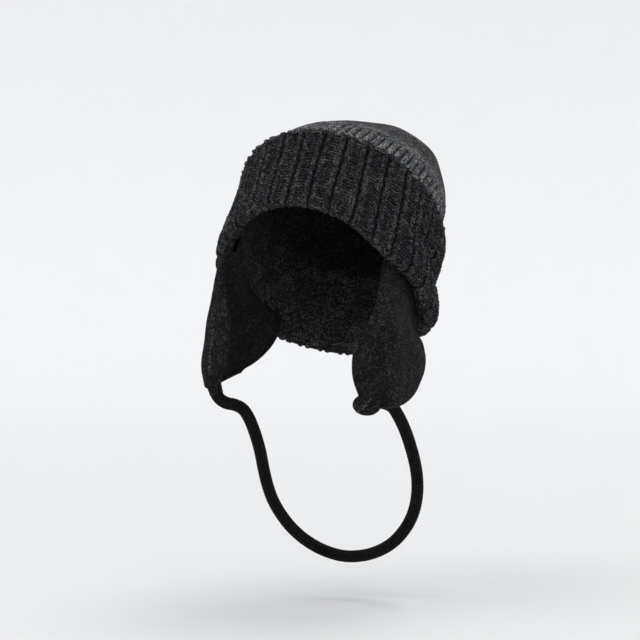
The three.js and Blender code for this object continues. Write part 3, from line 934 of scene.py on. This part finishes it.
@dataclass
class EarFlap:
    """A padded flap that hangs from inside the cuff."""

    tube: HeadTube
    finish: Material
    name: str
    side: int
    start: float
    flare: float
    levels: Sequence[Level]
    end: float = 124
    tuck: float = 0.014
    thickness: float = 0.008
    columns: int = 150
    rows: int = 200
    wale: float = 0.0033
    course: float = 0.0025
    stitch_depth: float = 0.0006
    # Place across and down the flap, spread across and down it, and depth of a hollow.
    hollow: Bulge = (0.62, 0.6, 0.14, 0.2, 0.0)
    # Place across the flap, half width and height of a ridge down it; a raised ridge also gets a painted
    # highlight.
    ridge: Triple = (0.2, 0.02, 0.0)
    extras: list[Mesh] = field(default_factory=list)

    def tucked(self, u: Array, drop: float, out: float) -> Array:
        """A level of the flap under the cuff."""
        azimuth = self.side * lerp(self.start, self.end, u)
        height = self.tube.fold(azimuth) + drop
        return self.tube.at_height(azimuth, height, out - self.thickness / 2)

    def hung(self, u: Array, level: Level) -> Array:
        """A level of the flap below the cuff."""
        f, r = np.array(level.front), np.array(level.rear)
        thirds = lerp(f[2], r[2], 1 / 3), lerp(f[2], r[2], 2 / 3)
        front_bow = np.array([lerp(f[0], level.bow, 0.72), f[1] - 0.003, thirds[0]])
        rear_bow = np.array([level.bow, lerp(f[1], r[1], 0.38), thirds[1]])
        t = u[:, None]
        curve = (1 - t) ** 3 * f + 3 * t * (1 - t) ** 2 * front_bow
        curve = curve + 3 * t * t * (1 - t) * rear_bow + t**3 * r
        curve[:, 2] -= level.sag * 4 * u * (1 - u)
        return curve

    def middle(self) -> Array:
        """Middle of the flap's thickness, of shape (rows + 1, columns + 1, 3)."""
        across = np.linspace(0, 1, self.columns + 1)
        u = lerp(across, 0.5 - 0.5 * np.cos(np.pi * across), 0.35)
        tucks = ((self.tuck, 0.0), (0.0, -0.001), (-0.011, self.flare))
        controls = [self.tucked(u, drop, out) for drop, out in tucks]
        controls += [self.hung(u, level) for level in self.levels]
        down = np.linspace(0, 1, self.rows + 1)
        down = lerp(down, np.sin(0.5 * np.pi * down), 0.35)
        return catmull_rom(np.array(controls), down)

    def spot(self, u: Array, v: Array) -> tuple[Array, Array]:
        """Row and column of grid places in the arrays below, whose rows start at the top."""
        return np.rint((1 - v) * self.rows).astype(int), np.rint(u * self.columns).astype(int)

    def faces(self) -> tuple[Place, Place, Array]:
        """Place functions of the outer and inner faces, and the size of the flap in stitches."""
        sheet = self.middle()
        along = np.gradient(sheet, axis=1)
        down = np.gradient(sheet, axis=0)
        normal = np.cross(down, along) * self.side
        normal /= np.linalg.norm(normal, axis=-1, keepdims=True)
        width = np.cumsum(np.linalg.norm(along, axis=-1), axis=1)
        length = np.cumsum(np.linalg.norm(down, axis=-1), axis=0)
        from_side = np.minimum(width - width[:, :1], width[:, -1:] - width)
        from_end = length[-1:] - length
        edge = np.minimum(from_side, from_end)
        reach = 0.5 * self.thickness
        swell = np.sqrt(np.clip(1 - (1 - np.clip(edge / reach, 0, 1)) ** 2, 0, 1))
        pad = reach * swell * (0.9 + 0.12 * smoothstep(edge, 0.004, 0.02))
        middle_width = width[:, self.columns // 2][:, None]
        wale = (width - middle_width) / self.wale
        course = length / self.course
        gap = (1 - stockinette(wale, course)) * smoothstep(edge, 0.0, 0.003)
        own = scatter(course - 0.9 * np.abs(2 * (wale % 1) - 1), wale * 2) - 0.5
        across = np.linspace(0, 1, self.columns + 1)[None, :]
        drop = np.linspace(0, 1, self.rows + 1)[:, None]
        corner = (1 - smoothstep(across, 0.0, 0.18)) * (1 - smoothstep(drop, 0.2, 0.45))
        pad = pad * (1 - 0.5 * corner)
        at, low, wide, tall, deep = self.hollow
        dent = deep * bell((across - at) / wide, (drop - low) / tall)
        line, half_width, height = self.ridge
        fold = bell((across - line) / half_width)
        fold = fold * smoothstep(drop, 0.4, 0.55) * (1 - smoothstep(drop, 0.86, 0.95))
        crest = height * fold - dent
        # Painted highlight along a raised ridge.
        paler = 2.4 * fold * (height > 0)

        def face(sign: float) -> Place:
            """Place function of the face on one side of the sheet."""
            points = sheet + normal * (sign * (pad - self.stitch_depth * gap) + crest)[..., None]
            # Painted shade between loops, a random tone for each stitch, a painted highlight along the
            # ridge on the outer face and painted shade over the whole inner face.
            depth = 0.2 * gap - 0.5 * own + (-paler if sign > 0 else 0.5)

            def place(u: Array, v: Array) -> Array:
                """Reads the face at grid places."""
                spot = self.spot(u, v)
                return np.column_stack([points[spot], depth[spot], np.zeros_like(u)])

            return place

        return face(1.0), face(-1.0), np.stack([wale, course], -1)

    def build(self) -> Object:
        """Makes and dresses the flap."""
        outside, inside, count = self.faces()

        def stitches(corners: Array, middle: Array) -> Array:
            """Maps the grid to stitches."""
            return count[self.spot(*corners.T)]

        meshes = [grid_mesh(self.columns, self.rows, side, stitches) for side in (outside, inside)]
        bridge = self.top_bridge(outside, inside, stitches)
        parts = [*meshes, bridge, *self.extras]
        piece = knitted_piece(f"{self.name}_knit", parts, self.finish, self.name)
        return piece

    def top_bridge(self, outside: Place, inside: Place, stitches: Place) -> Mesh:
        """The narrow strip that closes the flap's top edge, inside the cuff."""

        def place(u: Array, v: Array) -> Array:
            """Blends from the outer to the inner face along their top edges."""
            top = np.ones_like(u)
            return lerp(outside(u, top), inside(u, top), v[:, None])

        return grid_mesh(self.columns, 2, place, stitches)


@dataclass
class Tube:
    """A knitted tube along a curve, with closed ends."""

    route: Array
    radius: float
    around: int = 36
    wales: int = 6
    course: float = 0.0031
    step: float = 0.0008
    stitch_depth: float = 0.0004

    def centres(self, count: int) -> Array:
        """Points evenly spaced along the route."""
        dense = catmull_rom(self.route, np.linspace(0, 1, 4000))
        length = np.concatenate([[0], np.cumsum(np.linalg.norm(np.diff(dense, axis=0), axis=1))])
        even = np.linspace(0, length[-1], count)
        return np.stack([np.interp(even, length, dense[:, k]) for k in range(3)], -1)

    def length(self) -> float:
        """Length of the centre line."""
        return float(np.linalg.norm(np.diff(self.centres(2000), axis=0), axis=1).sum())

    def mesh(self, thickness: Callable[[Array], Array] | None = None) -> Mesh:
        """Makes the tube.

        Args:
            thickness: Share of the radius at each share of the length; 1 all along if left out.

        Returns:
            Its mesh.
        """
        rows = max(12, round(self.length() / self.step))
        centres = self.centres(rows + 1)
        tangents = np.gradient(centres, axis=0)
        tangents /= np.linalg.norm(tangents, axis=1, keepdims=True)
        normals = [np.cross(tangents[0], (1.0, 0.0, 0.0))]
        for tangent in tangents[1:]:
            last = normals[-1] - tangent * np.dot(normals[-1], tangent)
            normals.append(last)
        normals = np.array([n / np.linalg.norm(n) for n in normals])
        sides = np.cross(tangents, normals)
        size = np.ones(rows + 1) if thickness is None else thickness(np.linspace(0, 1, rows + 1))
        courses = self.length() / self.course

        def place(u: Array, v: Array) -> Array:
            """Maps the grid round the tube."""
            i = np.rint(v * rows).astype(int)
            angle = 2 * np.pi * u
            knit = self.stitch_depth * (stockinette(u * self.wales, v * courses) - 0.5)
            end = np.minimum(i, rows - i)
            round_off = np.where(end == 0, 0.0, np.where(end == 1, 0.8, 1.0))
            r = (self.radius * size[i] + knit) * round_off
            arm = np.cos(angle)[:, None] * normals[i] + np.sin(angle)[:, None] * sides[i]
            points = centres[i] + arm * r[:, None]
            # Painted shade in the stitch hollows, painted highlight on the stitch tops.
            return np.column_stack([points, 0.5 - knit / self.stitch_depth * 0.5, np.zeros_like(u)])

        def stitches(corners: Array, middle: Array) -> Array:
            """Maps the grid to stitches."""
            return np.stack([corners[:, 0] * self.wales, corners[:, 1] * courses], -1)

        return grid_mesh(self.around, rows, place, stitches)


@dataclass
class TieCord:
    """The knitted cord from flap tip to flap tip, behind the neck."""

    finish: Material
    diameter: float = 0.0108
    sleeve: float = 0.006
    # Points of the centre line from the left flap to the right one, in millimetres.
    bends: tuple[Triple, ...] = (
        (64, -45, -97.5), (66, -34, -99.5), (68.2, -23, -101.2), (70.3, -13, -105), (72, -5, -112.2),
        (74.4, 0.5, -121), (76.2, 5.5, -130), (77.5, 11.5, -141), (78.4, 18, -153.5), (78.5, 24, -167),
        (77.4, 28, -181), (74, 32, -195), (68.4, 35, -208), (60, 38, -220), (48.7, 41.5, -231),
        (34.5, 44, -239.8), (17, 45.5, -245.8), (-2, 45, -247.5), (-19.5, 40, -243),
        (-33.5, 30.5, -233.5), (-43, 19, -221), (-48.5, 7, -207), (-51.5, -4, -192.5),
        (-52.7, -12.5, -178), (-53, -19.5, -163), (-53, -25.5, -148.5), (-53.5, -31, -136.5),
        (-54.5, -36.8, -125.5), (-56.3, -42.3, -115.5), (-59.6, -47.3, -107.8), (-65, -52, -104),
        (-71.2, -56, -102.3), (-76.2, -58.7, -98.9), (-78.9, -60, -94.8), (-80.2, -60.5, -90.2),
    )

    @property
    def route(self) -> Array:
        """The centre line's points in metres."""
        return np.array(self.bends) / 1000

    def root(self, at: int, beyond: int, length: float) -> Mesh:
        """The plug of knitting that an end of the cord runs into.

        Args:
            at: Index of the route's end point.
            beyond: Index of the point next to it.
            length: Length of the plug.

        Returns:
            Its mesh, which belongs to the flap.
        """
        end = self.route[at]
        direction = end - self.route[beyond]
        direction /= np.linalg.norm(direction)
        start = end - self.sleeve * direction
        along = np.array([[0], [0.35], [0.7], [1]]) * (length + self.sleeve)
        plug = Tube(start + direction * along, self.diameter / 2 + 0.0007)
        return plug.mesh(lambda t: 1 + 0.1 * smoothstep(t, 0.1, 0.6) - 0.3 * smoothstep(t, 0.7, 1.0))

    def build(self) -> Object:
        tube = Tube(self.route, self.diameter / 2)
        piece = knitted_piece("tie_cord_knit", [tube.mesh()], self.finish, "tie_cord")
        path = [tuple(p) for p in tube.centres(240)]
        length = tube.length()
        LOG.info("cord length %.3f m", length)
        return piece


@dataclass
class Knob:
    """The rolled tip of the wearer's left flap."""

    place: Triple = (0.066, -0.06, -0.1005)
    radius: float = 0.0125
    shape: Triple = (1.0, 0.75, 0.74)
    around: int = 170
    rows: int = 100

    def mesh(self) -> Mesh:
        """Makes the knob, a flattened ball with a fold drawn across it, which carries a painted
        highlight.
        """

        def place(u: Array, v: Array) -> Array:
            """Maps the grid round the ball."""
            a, b = 2 * np.pi * u, np.pi * (v - 0.5)
            way = np.stack([np.cos(b) * np.sin(a), -np.cos(b) * np.cos(a), np.sin(b)], -1)
            across = way @ np.array([-0.74, -0.35, 0.57])
            crease = bell((across - 0.187) / 0.05) * (way[:, 1] < 0.3)
            knit = 0.0004 * (stockinette(u * 12, v * 14) - 0.5) * np.cos(b)
            r = self.radius + 0.0005 * crease + knit
            points = way * r[:, None] * np.array(self.shape) + np.array(self.place)
            # Painted highlight along the crease; the rest of the knob is a little darker.
            return np.column_stack([points, 0.15 - 4.0 * crease, np.zeros_like(u)])

        def stitches(corners: Array, middle: Array) -> Array:
            """Maps the grid to stitches."""
            return corners * np.array([12, 14])

        return grid_mesh(self.around, self.rows, place, stitches)


LEFT_LEVELS = (
    Level((0.069, -0.0575, -0.026), (0.0765, 0.0365, -0.055), 0.1, 0.0),
    Level((0.057, -0.063, -0.048), (0.0805, 0.0325, -0.064), 0.098, 0.003),
    Level((0.0545, -0.064, -0.074), (0.082, 0.025, -0.074), 0.097, 0.008),
    Level((0.061, -0.062, -0.096), (0.081, 0.013, -0.084), 0.0965, 0.013),
)
RIGHT_LEVELS = (
    Level((-0.071, -0.056, -0.008), (-0.0805, 0.0365, -0.06), -0.108, 0.0),
    Level((-0.064, -0.062, -0.036), (-0.086, 0.032, -0.066), -0.113, 0.002),
    Level((-0.065, -0.065, -0.06), (-0.0915, 0.024, -0.072), -0.113, 0.005),
    Level((-0.074, -0.063, -0.084), (-0.094, 0.012, -0.078), -0.102, 0.009),
)


# Studio


@dataclass
class Studio:
    """Camera, soft lights and a pale floor that curves up into a wall all round."""

    aim: Triple = (-0.0048, -0.0022, -0.0286)
    yaw: float = math.radians(25)
    distance: float = 1.4
    lens: float = 87.4
    floor: float = -0.285
    floor_radius: float = 2.2
    wall_radius: float = 3.4
    wall_height: float = 3.0
    floor_paint: RGBA = (0.65, 0.65, 0.65, 1.0)
    wall_paint: RGBA = (0.85, 0.85, 0.85, 1.0)

    def camera(self) -> None:
        """Places the camera."""
        data = bpy.data.cameras.new("camera")
        data.lens, data.sensor_width = self.lens, 36.0
        data.clip_start, data.clip_end = 0.05, 50.0
        camera = new_object("camera", data)
        forward = Vector((-math.sin(self.yaw), math.cos(self.yaw), 0.0))
        camera.location = Vector(self.aim) - forward * self.distance
        camera.rotation_euler = forward.to_track_quat("-Z", "Y").to_euler()
        bpy.context.scene.camera = camera

    def backdrop(self) -> None:
        """Spins the profile of floor, cove and wall round the upright axis."""
        bm = bmesh.new()
        bend = self.wall_radius - self.floor_radius
        profile = [(0.0, self.floor)]
        for k in range(13):
            t = math.radians(90 * k / 12)
            profile.append(
                (self.floor_radius + bend * math.sin(t), self.floor + bend * (1 - math.cos(t)))
            )
        profile.append((self.wall_radius, self.wall_height))
        chain = [bm.verts.new((x, 0.0, z)) for x, z in profile]
        edges = [bm.edges.new(pair) for pair in zip(chain, chain[1:])]
        whole_turn = {"cent": (0, 0, 0), "axis": (0, 0, 1), "angle": 2 * math.pi, "steps": 96}
        bmesh.ops.spin(bm, geom=chain + edges, use_merge=True, **whole_turn)
        bmesh.ops.remove_doubles(bm, verts=bm.verts, dist=1e-5)
        bmesh.ops.recalc_face_normals(bm, faces=bm.faces)
        bmesh.ops.reverse_faces(bm, faces=bm.faces)
        mesh = bpy.data.meshes.new("backdrop")
        bm.to_mesh(mesh)
        bm.free()
        mesh.shade_smooth()
        paint = bpy.data.materials.new("pale_paint")
        paint.use_nodes = True
        shader = paint.node_tree.nodes["Principled BSDF"]
        wires = Wires(paint.node_tree)
        away = wires.vector("LENGTH", wires.node("ShaderNodeTexCoord").outputs["Object"])
        far = wires.ramp(away.outputs["Value"], 0.3, 3.2)
        colour = wires.mix(far, self.floor_paint, self.wall_paint)
        wires.set(shader, {"Base Color": colour, "Roughness": 0.9, "Specular IOR Level": 0.1})
        mesh.materials.append(paint)
        new_object("backdrop", mesh)

    def light(self, name: str, place: Triple, size: float, power: float) -> None:
        """A soft square light that faces the object.

        Args:
            name: Its name.
            place: Where it stands.
            size: Length of a side.
            power: Watts.
        """
        data = bpy.data.lights.new(name, "AREA")
        data.size = size
        data.energy = power
        lamp = new_object(name, data)
        lamp.location = place
        lamp.rotation_euler = (-Vector(place)).to_track_quat("-Z", "Y").to_euler()

    def build(self) -> None:
        """Sets the whole studio up."""
        self.camera()
        self.backdrop()
        self.light("key", (-0.9, -1.2, 2.2), 1.6, 18.0)
        self.light("fill", (1.8, -1.6, 1.0), 1.6, 8.0)
        self.light("top", (0.3, 0.7, 2.4), 1.2, 18.0)
        world = bpy.data.worlds.new("world")
        world.use_nodes = True
        sky = {"Color": (0.96, 0.975, 1.0, 1.0), "Strength": 1.06}
        Wires(world.node_tree).set(world.node_tree.nodes["Background"], sky)
        bpy.context.scene.world = world
        bpy.context.scene.view_settings.view_transform = "Standard"


def main() -> None:
    """Builds the studio and every piece of the cap, and reports them."""
    logging.basicConfig(level=logging.INFO, format="%(name)s: %(message)s")
    Studio().build()
    groups = {"melange": melange_group(), "stitches": stitch_group(), "fuzz": fuzz_group()}
    finishes = {slot: yarn.material(groups) for slot, yarn in YARNS.items()}
    tube = HeadTube()
    cord = TieCord(finishes[Slot.CORD])
    cord.build()
    Cuff(tube, finishes[Slot.RIB]).build()
    Crown(tube, finishes[Slot.PLAIN]).build()
    left_extras = [Knob().mesh(), cord.root(0, 1, 0.012)]
    right_extras = [cord.root(-1, -2, 0.014)]
    flap = finishes[Slot.FLAP]
    EarFlap(
        tube, flap, "ear_flap_left", 1, 63, 0.001, LEFT_LEVELS,
        hollow=(0.62, 0.6, 0.14, 0.2, 0.004), extras=left_extras,
    ).build()
    EarFlap(
        tube, flap, "ear_flap_right", -1, 51, 0.011, RIGHT_LEVELS,
        ridge=(0.2, 0.014, 0.0016), extras=right_extras,
    ).build()


if __name__ == "__main__":
    main()
